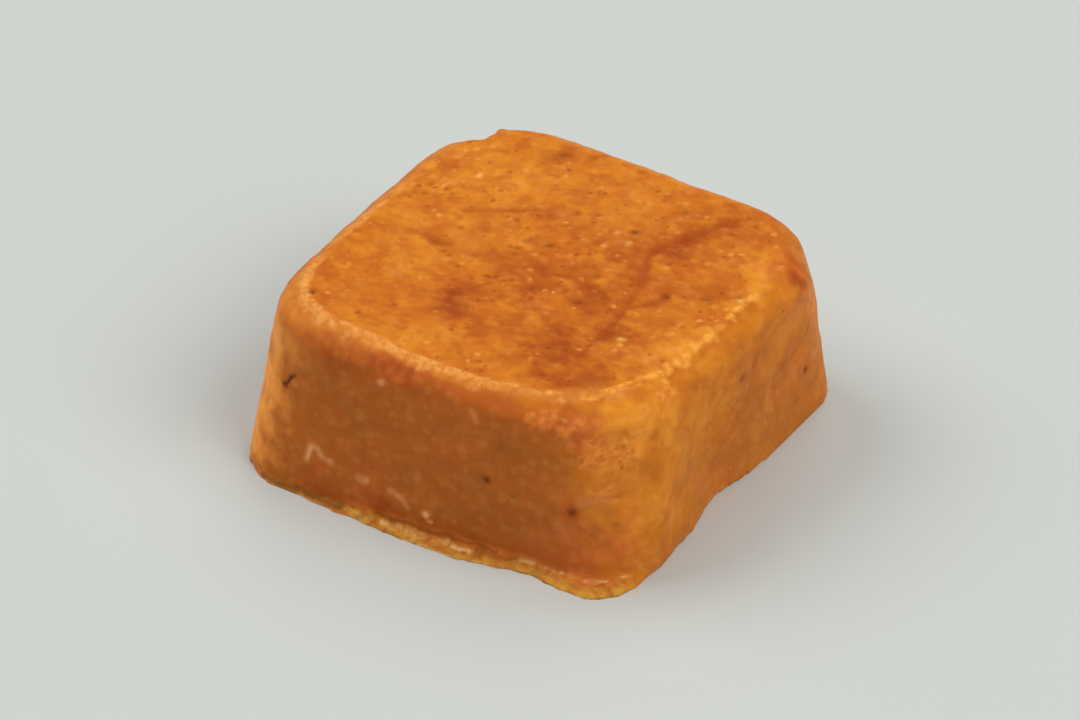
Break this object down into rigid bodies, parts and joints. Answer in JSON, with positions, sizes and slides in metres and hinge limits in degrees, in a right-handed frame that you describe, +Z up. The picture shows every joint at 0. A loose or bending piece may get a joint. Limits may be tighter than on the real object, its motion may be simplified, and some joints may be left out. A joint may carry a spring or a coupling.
{
  "type": "fudge cube",
  "caption": "Low square block of caramel-coloured fudge with rounded corners, a soft top edge and a thin fin of flash along the foot of a wall.",
  "frame": {"origin": "middle of the block's bounding box, on the plane that it rests on", "axes": "+Z up out of the top; -Y out of the wall that carries the fin of flash; +X out of the wall with the trough"},
  "size_m": [0.0354, 0.0356, 0.015],
  "materials": {
    "fudge": "satin"
  },
  "bodies": {
    "root": {"fudge_block": "fudge"}
  },
  "joints": []
}
